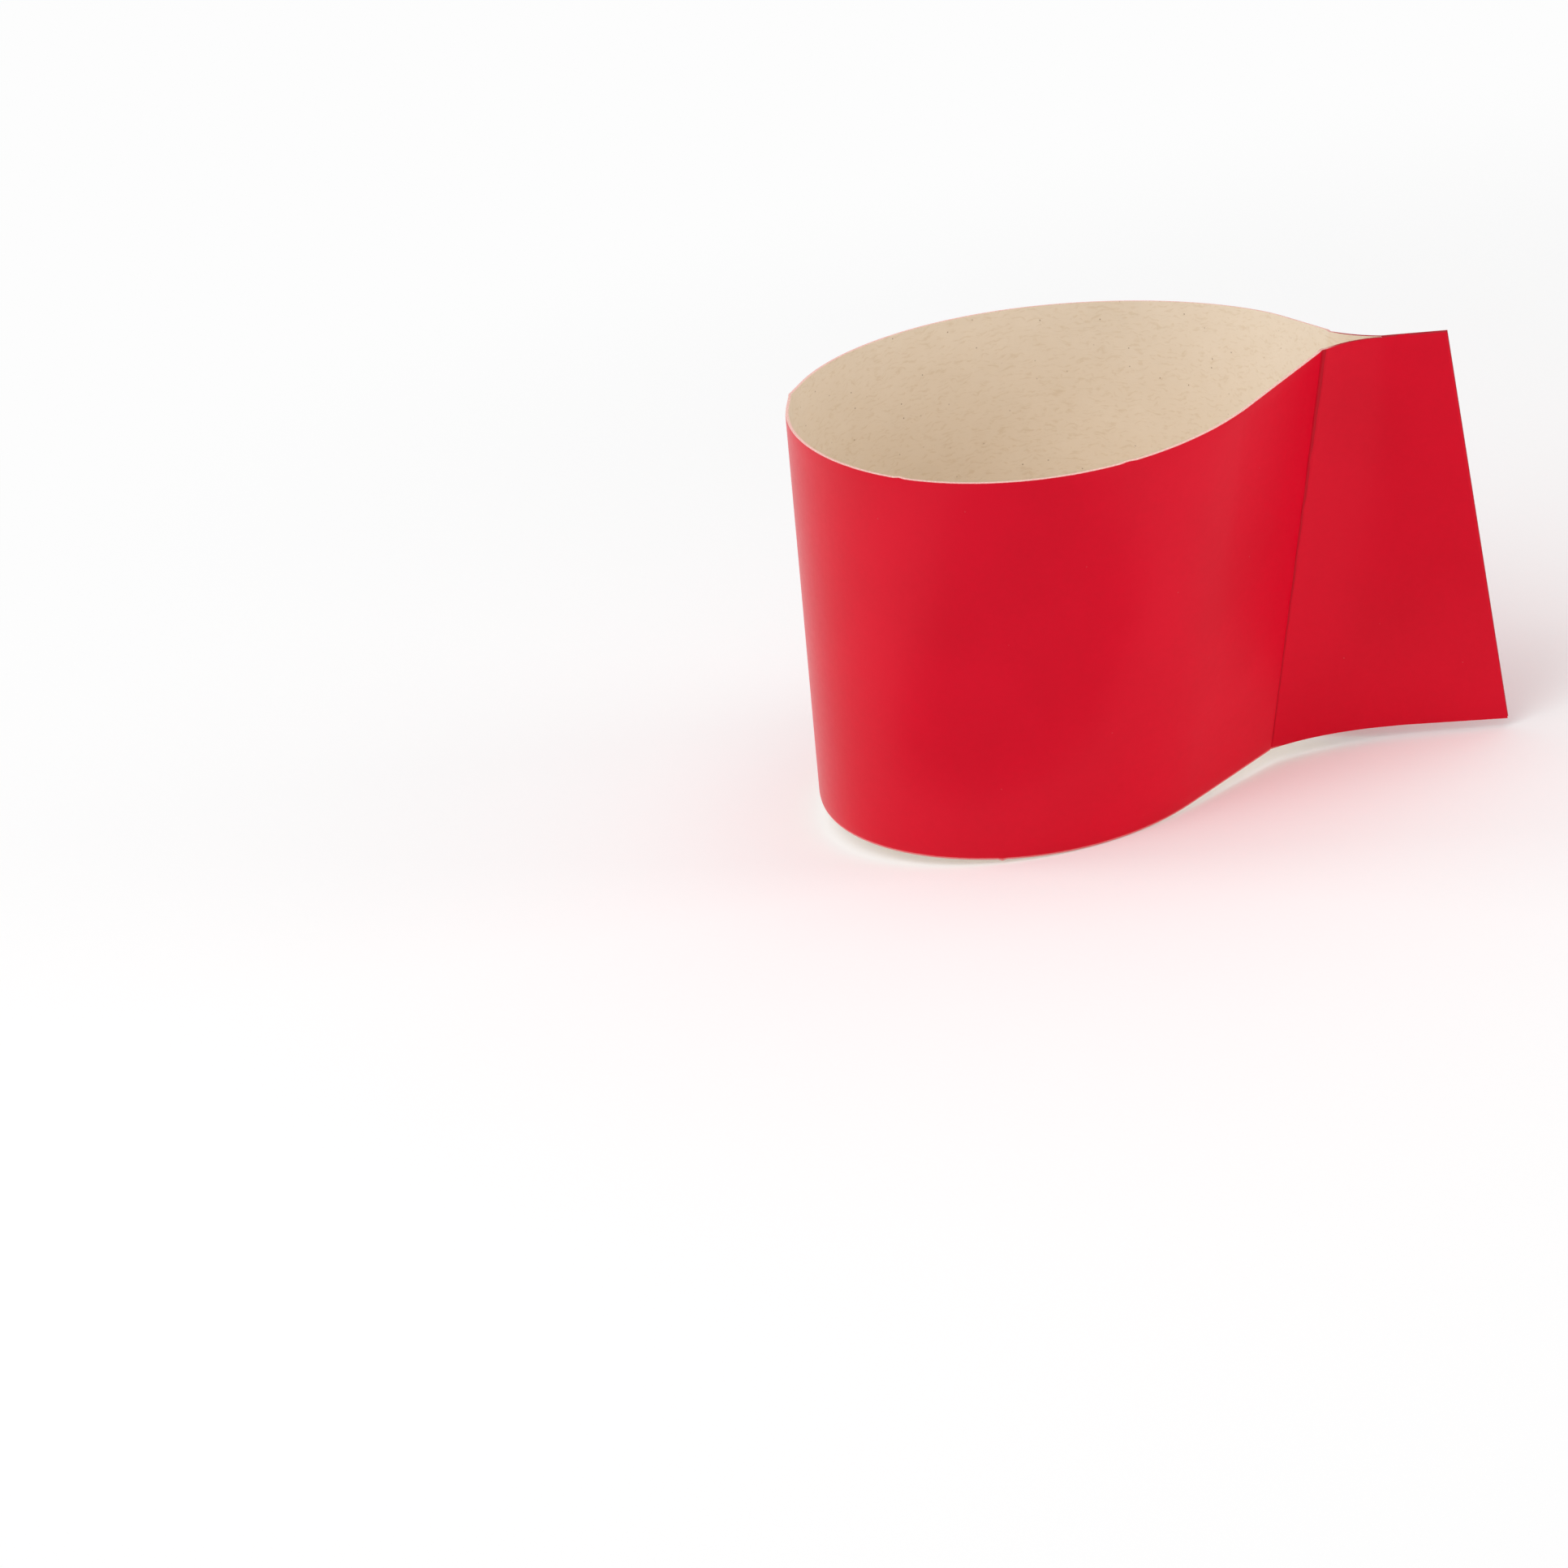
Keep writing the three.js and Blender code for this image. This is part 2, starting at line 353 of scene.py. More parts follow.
class Edge:
    """One long edge of the strip on the +Y half, in space and on the flat blank."""

    def __init__(self, apex_distance, crease, round_end, sizes):
        slope = sizes.cone_half_angle
        plan = edge_plan(apex_distance * sin(slope), crease, round_end, sizes)
        points, self.crease_start, self.crease_end, self.glue = plan
        height = apex_distance * cos(slope)
        rays = [Vector((p.x, p.y, height)).normalized() for p in points]
        self.curve = []
        self.flat = []
        unrolled = 0.0
        travelled = 0.0
        for i, ray in enumerate(rays):
            if i > 0:
                unrolled += ray.angle(rays[i - 1])
            self.curve.append(ray * (apex_distance / cos(unrolled)))
            self.flat.append(apex_distance * tan(unrolled))
            if i > 0:
                travelled += (self.curve[i] - self.curve[i - 1]).length

        # The rest of the strip lies flat in the tab
        last = rays[-1]
        end = atan(tan(unrolled) + (sizes.folded_length - travelled) / apex_distance)
        heading = atan2(last.x, last.z) + end - unrolled
        tip = Vector((sin(heading), 0, cos(heading))) * (apex_distance / cos(end))
        corner = self.curve[-1]
        flat_start = self.flat[-1]
        for i in range(1, TAB_STEPS + 1):
            self.curve.append(corner.lerp(tip, i / TAB_STEPS))
            self.flat.append(mix(flat_start, apex_distance * tan(end), i / TAB_STEPS))


def outward_directions(lower, upper):
    """Outward direction at each station, long enough to carry the card's thickness round a corner."""
    facing = []
    for i in range(len(lower) - 1):
        along = lower[i + 1] - lower[i] + upper[i + 1] - upper[i]
        across = upper[i] - lower[i] + upper[i + 1] - lower[i + 1]
        facing.append(across.cross(along).normalized())
    fold_twin = Vector((facing[0].x, -facing[0].y, facing[0].z))
    directions = []
    for i in range(len(lower)):
        before = fold_twin if i == 0 else facing[i - 1]
        after = facing[i] if i < len(facing) else facing[-1]
        directions.append((before + after) / (1 + before.dot(after)))
    return directions


class Leaf:
    """The +Y half of the sleeve: its two edges, its outward directions and its stations."""

    def __init__(self, sizes):
        self.sizes = sizes
        lower_crease = Crease(sizes.lower_beyond, sizes.lower_gap, sizes.lower_lead)
        upper_crease = Crease(sizes.upper_beyond, sizes.upper_gap, sizes.upper_lead)
        lower_reach = sizes.lower_radius / sin(sizes.cone_half_angle)
        upper_reach = lower_reach + sizes.strip_width
        round_end = max(
            lower_crease.leaving(sizes.lower_radius),
            upper_crease.leaving(upper_reach * sin(sizes.cone_half_angle)),
        )
        self.lower = Edge(lower_reach, lower_crease, round_end, sizes)
        self.upper = Edge(upper_reach, upper_crease, round_end, sizes)
        self.outward = outward_directions(self.lower.curve, self.upper.curve)
        self.glue = self.lower.glue
        self.tip = len(self.lower.curve) - 1
        self.rows = self.row_shares()

    def row_shares(self):
        """Heights of the rows as shares of the strip's width, closer together at both edges."""
        width = self.sizes.strip_width
        near = [row / width for row in EDGE_ROWS]
        inside = [mix(near[-1], 1 - near[-1], i / self.sizes.rows) for i in range(1, self.sizes.rows)]
        return near + inside + [1 - row for row in reversed(near)]

    def flat(self, station, share):
        """Place on the flat blank: along the strip from the fold, and across it from the lower edge."""
        along = mix(self.lower.flat[station], self.upper.flat[station], share)
        return along, share * self.sizes.strip_width

    def from_crease(self, station, share):
        """Distance along the strip from the middle of the crease, negative on the round's side."""
        along = mix(self.lower.flat[station], self.upper.flat[station], share)
        middle = (self.lower.crease_start + self.lower.crease_end) // 2
        return along - mix(self.lower.flat[middle], self.upper.flat[middle], share)

    def stand(self, along, across, side, station):
        """How far the card stands proud: the belly, and soft waves that die out at the glue."""
        spacing = self.sizes.wave_spacing
        free = min(1.0, max(0.0, (self.glue - station) / BEND_STEPS))
        place = Vector((side * along / spacing, across / spacing / WAVE_STRETCH, 0.0))
        wave = self.sizes.waviness * noise.noise(place) * free
        lean = 1 - across / (BELLY_TURN * self.sizes.strip_width)
        return wave + self.sizes.belly * lean * bump(along - BELLY_ALONG, BELLY_REACH)

    def point(self, station, share, side, depth):
        """A point of the card: depth 0 is the inner face and 1 the outer one."""
        sizes = self.sizes
        along, across = self.flat(station, share)
        place = self.lower.curve[station].lerp(self.upper.curve[station], share)
        ruled = (self.upper.curve[station] - self.lower.curve[station]).normalized()
        outward = self.outward[station]
        pressed = bump(self.from_crease(station, share), sizes.groove_width / 2)
        groove = GROOVE_LEFT * sizes.groove_depth * pressed
        fold = bump(along, FOLD_RIDGE_WIDTH / 2)
        stand = self.stand(along, across, side, station)
        inner = stand - groove * (station <= self.glue)
        outer = sizes.card + stand - groove + FOLD_RIDGE * fold
        place = place + outward * mix(inner, outer, depth)
        return place + ruled * self.edge_stand(along, share, side)

    def edge_stand(self, along, share, side):
        """How far a nick carries the nearest cut edge outwards."""
        reach = NICK_REACH / self.sizes.strip_width
        nicks, near, sign = (LOWER_NICKS, share, -1) if share < 0.5 else (UPPER_NICKS, 1 - share, 1)
        if side > 0 or near > reach:
            return 0.0
        fade = 1 - near / reach
        return sign * fade ** 4 * sum(height * bump(along - place, NICK_WIDTH) for place, height in nicks)


def sided(point, side):
    """A point of the +Y half carried to either half."""
    return Vector((point.x, point.y * side, point.z))


class SleeveMesh:
    """Builds the closed skin of the sleeve, with its UV map, its materials and its crease distances."""

    RED, INNER, CUT = range(3)

    def __init__(self, leaf):
        self.leaf = leaf
        self.mesh = bmesh.new()
        self.uv = self.mesh.loops.layers.uv.new("blank")
        self.crease = self.mesh.verts.layers.float.new("from_crease")

    def vertex(self, place, from_crease):
        """A new vertex that knows its distance from the crease, in millimetres."""
        made = self.mesh.verts.new(place)
        made[self.crease] = from_crease / MM
        return made

    def grid(self, columns, material, flip):
        """Faces between neighbouring columns of (vertex, uv) pairs."""
        for left, right in zip(columns, columns[1:]):
            for i in range(len(left) - 1):
                corners = [left[i], right[i], right[i + 1], left[i + 1]]
                if flip:
                    corners.reverse()
                face = self.mesh.faces.new([vertex for vertex, _ in corners])
                face.material_index = material
                face.smooth = True
                for loop, (_, place) in zip(face.loops, corners):
                    loop[self.uv].uv = place

    def skin(self, depth, last, side, v_offset):
        """Columns of one face of one half, from the fold to the given station."""
        leaf = self.leaf
        columns = []
        for station in range(last + 1):
            column = []
            for share in leaf.rows:
                along, across = leaf.flat(station, share)
                place = sided(leaf.point(station, share, side, depth), side)
                place = self.drawn_corner(place, station, share, side, depth)
                if station == 0:
                    place.y = 0.0
                uv = (FOLD_U + side * along / UV_METRES, v_offset + across / UV_METRES)
                column.append((self.vertex(place, leaf.from_crease(station, share)), uv))
            columns.append(column)
        return columns

    def drawn_corner(self, place, station, share, side, depth):
        """Draws the printed face in where the die's knife rounded it, at the cut edges and the tab's end."""
        if depth < 1:
            return place
        leaf = self.leaf
        width = leaf.sizes.strip_width
        near_edge = min(share, 1 - share) * width
        near_tip = leaf.lower.flat[leaf.tip] - leaf.lower.flat[station]
        draw = CORNER_DRAW * max(bump(near_edge, EDGE_ROWS[-1]), bump(near_tip, EDGE_ROWS[-1]))
        return place - sided(leaf.outward[station].normalized(), side) * draw

    def seam(self, station, share, endward):
        """The bottom of the V between the two cut edges of the glued tab."""
        leaf = self.leaf
        place = leaf.lower.curve[station].lerp(leaf.upper.curve[station], share)
        ruled = (leaf.upper.curve[station] - leaf.lower.curve[station]).normalized()
        depth = leaf.sizes.seam_depth
        inward = depth if share == 0 else -depth if share == 1 else 0
        place = place + ruled * inward
        if endward:
            along = (leaf.lower.curve[leaf.tip] - leaf.lower.curve[leaf.tip - 1]).normalized()
            place = place - along * depth
        return Vector((place.x, 0, place.z))

    def cut_column(self, outer, inner, outward, uv_start):
        """Points across a cut edge, from the printed face to the inner face or the seam."""
        column = []
        for i in range(CUT_STEPS + 1):
            depth = i / CUT_STEPS
            place = outer[0].co.lerp(inner.co, depth)
            place += outward * (CUT_BULGE * sin(pi * depth))
            made = outer[0] if i == 0 else inner if i == CUT_STEPS else None
            made = made or self.vertex(place, outer[0][self.crease] * MM)
            column.append((made, (uv_start[0], uv_start[1] + depth * self.leaf.sizes.card / UV_METRES)))
        return column

    def long_edge(self, outer, inner, side, share):
        """One long cut edge of one half."""
        leaf = self.leaf
        row = 0 if share == 0 else -1
        sign = -1 if share == 0 else 1
        columns = []
        for station in range(leaf.tip + 1):
            ruled = (leaf.upper.curve[station] - leaf.lower.curve[station]).normalized()
            outward = sided(ruled * sign, side)
            if station <= leaf.glue:
                partner = inner[station][row][0]
            else:
                place = self.seam(station, share, station == leaf.tip)
                partner = self.vertex(place, leaf.from_crease(station, share))
            along, _ = leaf.flat(station, share)
            uv = (FOLD_U + side * along / UV_METRES, EDGE_V + share * leaf.sizes.strip_width / UV_METRES)
            columns.append(self.cut_column(outer[station][row], partner, outward, uv))
        self.grid(columns, self.CUT, (side > 0) == (share == 1))
        return columns

    def tab_end(self, outer, side, long_edges):
        """The cut edge at the tab's end, on one half, between the ends of the two long edges."""
        leaf = self.leaf
        along = (leaf.lower.curve[leaf.tip] - leaf.lower.curve[leaf.tip - 1]).normalized()
        columns = []
        for row, share in enumerate(leaf.rows):
            along_blank, across = leaf.flat(leaf.tip, share)
            uv = (FOLD_U + side * (along_blank / UV_METRES + TAB_END_U), EDGE_V + across / UV_METRES)
            if share in long_edges:
                corner = long_edges[share][leaf.tip]
                columns.append([(vertex, uv) for vertex, _ in corner])
                continue
            partner = self.vertex(self.seam(leaf.tip, share, True), leaf.from_crease(leaf.tip, share))
            columns.append(self.cut_column(outer[leaf.tip][row], partner, along, uv))
        self.grid(columns, self.CUT, side < 0)

    def slit_corner(self, glue_columns, long_edges, share):
        """The small triangle at one end of the hollow, between the two halves and the start of the seam."""
        row = 0 if share == 0 else -1
        seam = long_edges[share][self.leaf.glue + 1][-1]
        corners = [column[row] for column in glue_columns] + [seam]
        face = self.mesh.faces.new([vertex for vertex, _ in corners])
        face.material_index = self.INNER
        for loop, (_, place) in zip(face.loops, corners):
            loop[self.uv].uv = place

    def build(self):
        """The whole skin."""
        leaf = self.leaf
        glue_columns = []
        for side in (1, -1):
            outer = self.skin(1, leaf.tip, side, 0)
            inner = self.skin(0, leaf.glue, side, INNER_FACE_V)
            self.grid(outer, self.RED, side < 0)
            self.grid(inner, self.INNER, side > 0)
            long_edges = {share: self.long_edge(outer, inner, side, share) for share in (0, 1)}
            self.tab_end(outer, side, long_edges)
            glue_columns.append(inner[leaf.glue])
        self.grid(glue_columns, self.INNER, False)
        for share in (0, 1):
            self.slit_corner(glue_columns, long_edges, share)
        bmesh.ops.remove_doubles(self.mesh, verts=self.mesh.verts, dist=WELD)
        loose = [vertex for vertex in self.mesh.verts if not vertex.link_faces]
        bmesh.ops.delete(self.mesh, geom=loose, context="VERTS")
        bmesh.ops.recalc_face_normals(self.mesh, faces=self.mesh.faces)
        return self.mesh


def resting_place(leaf):
    """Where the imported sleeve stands, read from the outer ends of its fold."""
    corners = [vertex.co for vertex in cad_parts[NODE].data.vertices]
    lower = min(corners, key=lambda corner: corner.x)
    upper = max(corners, key=lambda corner: corner.z)
    outward = leaf.outward[0] * leaf.sizes.card
    own_lower = leaf.lower.curve[0] + outward
    own_upper = leaf.upper.curve[0] + outward
    own = own_upper - own_lower
    packed = upper - lower
    tilt = atan2(packed.x, packed.z) - atan2(own.x, own.z)
    turn = Matrix.Rotation(tilt, 4, "Y")
    return Matrix.Translation(lower - turn @ own_lower) @ turn


def add(tree, kind, inputs=None, **settings):
    """Adds a node with its settings. An input takes a value, a socket, or a node's first output."""
    node = tree.nodes.new(kind)
    for name, value in settings.items():
        setattr(node, name, value)
    for name, value in (inputs or {}).items():
        if isinstance(value, bpy.types.Node):
            value = value.outputs[0]
        if isinstance(value, bpy.types.NodeSocket):
            tree.links.new(value, node.inputs[name])
        else:
            node.inputs[name].default_value = value
    return node


def new_material(name, viewport):
    """An empty node material and its tree."""
    material = bpy.data.materials.new(name)
    material.use_nodes = True
    material.diffuse_color = (*viewport, 1)
    material.node_tree.nodes.clear()
    return material, material.node_tree


def opaque(rgb):
    """Four channels of a colour."""
    return (*rgb, 1)


def blank_place(tree):
    """Place on the flat blank in millimetres: along the strip, and across it."""
    uv = add(tree, "ShaderNodeUVMap", uv_map="blank")
    scale = UV_METRES / MM
    return add(tree, "ShaderNodeVectorMath", {0: uv, 1: (scale, scale, scale)}, operation="MULTIPLY")


def dots(tree, place, spacing, radius, strength):
    """Scattered round dots of this spacing and radius in millimetres, the strongest of this strength."""
    inputs = {"Vector": place, "Scale": 1 / spacing, "Randomness": 1.0}
    cells = add(tree, "ShaderNodeTexVoronoi", inputs, voronoi_dimensions="2D").outputs
    chance = add(tree, "ShaderNodeSeparateXYZ", {0: cells["Color"]})
    round_dot = add(tree, "ShaderNodeMapRange", {
        "Value": cells["Distance"],
        "From Min": radius / spacing,
        "From Max": radius / spacing / 2,
    }, interpolation_type="SMOOTHSTEP")
    faintness = add(tree, "ShaderNodeMapRange", {
        "Value": chance,
        "From Min": 0.35,
        "To Max": strength,
    }, interpolation_type="SMOOTHSTEP")
    return add(tree, "ShaderNodeMath", {0: round_dot, 1: faintness}, operation="MULTIPLY")


def crease_line_and_shade(tree, place):
    """1 on the thin line that the creasing rule pressed into the print, wavering by a hair along it. The
    darker red there is partly the pressed print and partly painted shade in the groove.
    """
    distance = add(tree, "ShaderNodeAttribute", attribute_name="from_crease").outputs["Fac"]
    across = add(tree, "ShaderNodeVectorMath", {0: place, 1: (0, 1, 1)}, operation="MULTIPLY")
    waver = add(tree, "ShaderNodeTexNoise", {"Vector": across, "Scale": 1 / CREASE_WAVER})
    centred = add(tree, "ShaderNodeMath", {0: waver, 1: 0.5}, operation="SUBTRACT")
    moved = add(tree, "ShaderNodeMath", {0: centred, 1: 0.5, 2: distance}, operation="MULTIPLY_ADD")
    away = add(tree, "ShaderNodeMath", {0: moved}, operation="ABSOLUTE")
    return add(tree, "ShaderNodeMapRange", {
        "Value": away,
        "From Min": CREASE_LINE_EDGE,
        "From Max": CREASE_LINE_CORE,
    }, interpolation_type="SMOOTHSTEP")


def coated_card(colours, sizes):
    """Clay-coated board, printed solid red and sealed with a satin varnish.

    The varnish gives broad soft reflections, and the ink under it is a little uneven.
    """
    material, tree = new_material("coated_board_printed_red_satin_varnish", colours.red)
    place = blank_place(tree)
    parts = add(tree, "ShaderNodeSeparateXYZ", {0: place}).outputs
    along = parts["X"]
    across = parts["Y"]

    # Ink laid down by the press varies over a few centimetres and, finely, over about a millimetre
    cloud = add(tree, "ShaderNodeTexNoise", {"Vector": place, "Scale": 1 / INK_CLOUD, "Detail": 3.0})
    mottle = add(tree, "ShaderNodeTexNoise", {
        "Vector": place,
        "Scale": 1 / INK_MOTTLE,
        "Detail": 4.0,
        "Roughness": 0.6,
    })
    uneven = add(tree, "ShaderNodeMath", {0: mottle, 1: 0.35, 2: cloud}, operation="MULTIPLY_ADD")
    density = add(tree, "ShaderNodeMapRange", {"Value": uneven, "From Min": 0.45, "From Max": 0.9},
                  interpolation_type="SMOOTHSTEP")
    tone = add(tree, "ShaderNodeMix", {
        0: density,
        6: opaque(colours.red),
        7: opaque(colours.deep_red),
    }, data_type="RGBA").outputs[2]

    # Pale pinholes in the print
    pinholes = dots(tree, place, PINHOLE_SPACING, PINHOLE_RADIUS, strength=0.7)
    tone = add(tree, "ShaderNodeMix", {0: pinholes, 6: tone, 7: opaque(colours.worn_red)},
               data_type="RGBA").outputs[2]

    # The coating is stretched and a little paler along the outer fold
    from_fold = add(tree, "ShaderNodeMath", {0: along, 1: FOLD_U * UV_METRES / MM}, operation="SUBTRACT")
    fold_distance = add(tree, "ShaderNodeMath", {0: from_fold}, operation="ABSOLUTE")
    drawn_out = add(tree, "ShaderNodeVectorMath", {0: place, 1: (1, 0.35, 1)}, operation="MULTIPLY")
    scuffs = add(tree, "ShaderNodeTexNoise", {"Vector": drawn_out, "Scale": 1 / SCUFF, "Detail": 3.0})
    ragged = add(tree, "ShaderNodeMath", {0: scuffs, 1: 0.9, 2: fold_distance}, operation="MULTIPLY_ADD")
    ridge = add(tree, "ShaderNodeMapRange", {
        "Value": ragged,
        "From Min": 1.0,
        "From Max": 0.45,
        "To Max": 0.6,
    }, interpolation_type="SMOOTHSTEP")
    tone = add(tree, "ShaderNodeMix", {0: ridge, 6: tone, 7: opaque(colours.worn_red)},
               data_type="RGBA").outputs[2]

    # The rule's mark is darker, partly pressed print and partly painted shade, fading out over the last 2.5 mm
    # above the lower edge
    held = add(tree, "ShaderNodeMapRange", {
        "Value": across,
        "From Min": 0.3,
        "From Max": 2.5,
        "To Max": 0.7,
    }, interpolation_type="SMOOTHSTEP")
    mark = add(tree, "ShaderNodeMath", {0: crease_line_and_shade(tree, place), 1: held}, operation="MULTIPLY")
    tone = add(tree, "ShaderNodeMix", {0: mark, 6: tone, 7: opaque(colours.crease_red_and_shade)},
               data_type="RGBA").outputs[2]

    # The knife bares the pale core at the cut edges of the round, in a ragged line. A real one is under 0.1 mm
    # wide. The lower one, which faces away from the eye, is drawn about 0.2 mm wide so that it shows
    top = sizes.strip_width / MM
    rag = add(tree, "ShaderNodeTexNoise", {"Vector": place, "Scale": 1 / KNIFE_RAG})
    raised = add(tree, "ShaderNodeMath", {0: rag, 1: 0.12, 2: across}, operation="MULTIPLY_ADD")
    upper_edge = add(tree, "ShaderNodeMapRange", {
        "Value": raised,
        "From Min": top - 0.03,
        "From Max": top + 0.05,
    }, interpolation_type="SMOOTHSTEP")
    lowered = add(tree, "ShaderNodeMath", {0: rag, 1: -0.12, 2: across}, operation="MULTIPLY_ADD")
    lower_edge = add(tree, "ShaderNodeMapRange", {"Value": lowered, "From Min": 0.3, "From Max": 0.12},
                     interpolation_type="SMOOTHSTEP")
    edges = add(tree, "ShaderNodeMath", {0: upper_edge, 1: lower_edge}, operation="ADD")
    past_crease = add(tree, "ShaderNodeAttribute", attribute_name="from_crease").outputs["Fac"]
    on_round = add(tree, "ShaderNodeMapRange", {
        "Value": past_crease,
        "From Min": INK_FULL,
        "From Max": INK_START,
        "To Max": 0.5,
    }, interpolation_type="SMOOTHSTEP")
    bared = add(tree, "ShaderNodeMath", {0: edges, 1: on_round}, operation="MULTIPLY")
    tone = add(tree, "ShaderNodeMix", {0: bared, 6: tone, 7: opaque(colours.cut)},
               data_type="RGBA").outputs[2]

    # Board fibres show through the coating as a faint orange peel, and the board swells softly under it
    peel = add(tree, "ShaderNodeTexNoise", {"Vector": place, "Scale": 1 / PEEL, "Detail": 3.0})
    swell = add(tree, "ShaderNodeTexNoise", {"Vector": place, "Scale": 1 / SWELL, "Detail": 1.0})
    fine = add(tree, "ShaderNodeMath", {0: peel, 1: PEEL_HEIGHT}, operation="MULTIPLY")
    height = add(tree, "ShaderNodeMath", {0: swell, 1: SWELL_HEIGHT, 2: fine}, operation="MULTIPLY_ADD")
    relief = add(tree, "ShaderNodeBump", {"Height": height, "Strength": 1.0, "Distance": 1.0})
    roughness = add(tree, "ShaderNodeMapRange", {
        "Value": mottle,
        "From Min": 0.2,
        "From Max": 0.8,
        "To Min": 0.31,
        "To Max": 0.35,
    }, interpolation_type="SMOOTHSTEP")
    shader = add(tree, "ShaderNodeBsdfPrincipled", {
        "Base Color": tone,
        "Roughness": roughness,
        "IOR": 1.5,
        "Specular IOR Level": 0.165,
        "Normal": relief,
    })
    add(tree, "ShaderNodeOutputMaterial", {"Surface": shader})
    return material


def bare_board(colours):
    """Uncoated back of the board, pressed from wood pulp: matt, cream, with its fibres in sight."""
    material, tree = new_material("uncoated_board_pressed_pulp", colours.inner)
    place = blank_place(tree)

    # Fibres bend this way and that, and run mostly along the strip
    bend = add(tree, "ShaderNodeTexNoise", {"Vector": place, "Scale": 1 / FIBRE_BEND, "Detail": 2.0})
    bent = add(tree, "ShaderNodeVectorMath", {
        0: bend.outputs["Color"],
        1: (FIBRE_SWING, FIBRE_SWING, FIBRE_SWING),
        2: place,
    }, operation="MULTIPLY_ADD")
    drawn_out = add(tree, "ShaderNodeVectorMath", {0: bent, 1: (FIBRE_STRETCH, 1, 1)}, operation="MULTIPLY")
    fibres = add(tree, "ShaderNodeTexNoise", {"Vector": drawn_out, "Scale": 1 / FIBRE, "Detail": 3.0})
    cloud = add(tree, "ShaderNodeTexNoise", {
        "Vector": place,
        "Scale": 1 / PULP_CLOUD,
        "Detail": 4.0,
        "Roughness": 0.6,
    })
    strands = add(tree, "ShaderNodeMapRange", {
        "Value": fibres,
        "From Min": 0.5,
        "From Max": 0.72,
        "To Max": 0.3,
    }, interpolation_type="SMOOTHSTEP")
    shade = add(tree, "ShaderNodeMath", {0: cloud, 1: 0.3, 2: strands}, operation="MULTIPLY_ADD")
    tone = add(tree, "ShaderNodeMix", {0: shade, 6: opaque(colours.inner), 7: opaque(colours.fibre)},
               data_type="RGBA").outputs[2]

    # A few dark specks of recycled pulp
    specks = dots(tree, place, SPECK_SPACING, SPECK_RADIUS, strength=0.8)
    tone = add(tree, "ShaderNodeMix", {0: specks, 6: tone, 7: opaque(colours.speck)},
               data_type="RGBA").outputs[2]

    fine = add(tree, "ShaderNodeMath", {0: fibres, 1: FIBRE_HEIGHT}, operation="MULTIPLY")
    height = add(tree, "ShaderNodeMath", {0: cloud, 1: PULP_HEIGHT, 2: fine}, operation="MULTIPLY_ADD")
    relief = add(tree, "ShaderNodeBump", {"Height": height, "Strength": 1.0, "Distance": 1.0})
    shader = add(tree, "ShaderNodeBsdfPrincipled", {
        "Base Color": tone,
        "Roughness": 0.86,
        "IOR": 1.45,
        "Normal": relief,
    })
    add(tree, "ShaderNodeOutputMaterial", {"Surface": shader})
    return material


def cut_board(colours):
    """The board's core where the die cut it: pale pulp tinged by the ink, redder where the tab is glued."""
    material, tree = new_material("die_cut_board_core", colours.cut)
    place = blank_place(tree)
    drawn_out = add(tree, "ShaderNodeVectorMath", {0: place, 1: (1, 2.5, 1)}, operation="MULTIPLY")
    grain = add(tree, "ShaderNodeTexNoise", {"Vector": drawn_out, "Scale": 1 / CUT_GRAIN, "Detail": 3.0})
    pale = add(tree, "ShaderNodeMapRange", {"Value": grain, "From Min": 0.35, "From Max": 0.75},
               interpolation_type="SMOOTHSTEP")
    tone = add(tree, "ShaderNodeMix", {0: pale, 6: opaque(colours.cut), 7: opaque(colours.inner)},
               data_type="RGBA").outputs[2]
    past_crease = add(tree, "ShaderNodeAttribute", attribute_name="from_crease").outputs["Fac"]
    inked = add(tree, "ShaderNodeMapRange", {
        "Value": past_crease,
        "From Min": INK_START,
        "From Max": INK_FULL,
        "To Max": 0.97,
    }, interpolation_type="SMOOTHSTEP")
    tone = add(tree, "ShaderNodeMix", {0: inked, 6: tone, 7: opaque(colours.inked_cut)},
               data_type="RGBA").outputs[2]
    height = add(tree, "ShaderNodeMath", {0: grain, 1: CUT_HEIGHT}, operation="MULTIPLY")
    relief = add(tree, "ShaderNodeBump", {"Height": height, "Strength": 1.0, "Distance": 1.0})
    shader = add(tree, "ShaderNodeBsdfPrincipled", {
        "Base Color": tone,
        "Roughness": 0.9,
        "IOR": 1.45,
        "Specular IOR Level": 0.2,
        "Normal": relief,
    })
    add(tree, "ShaderNodeOutputMaterial", {"Surface": shader})
    return material


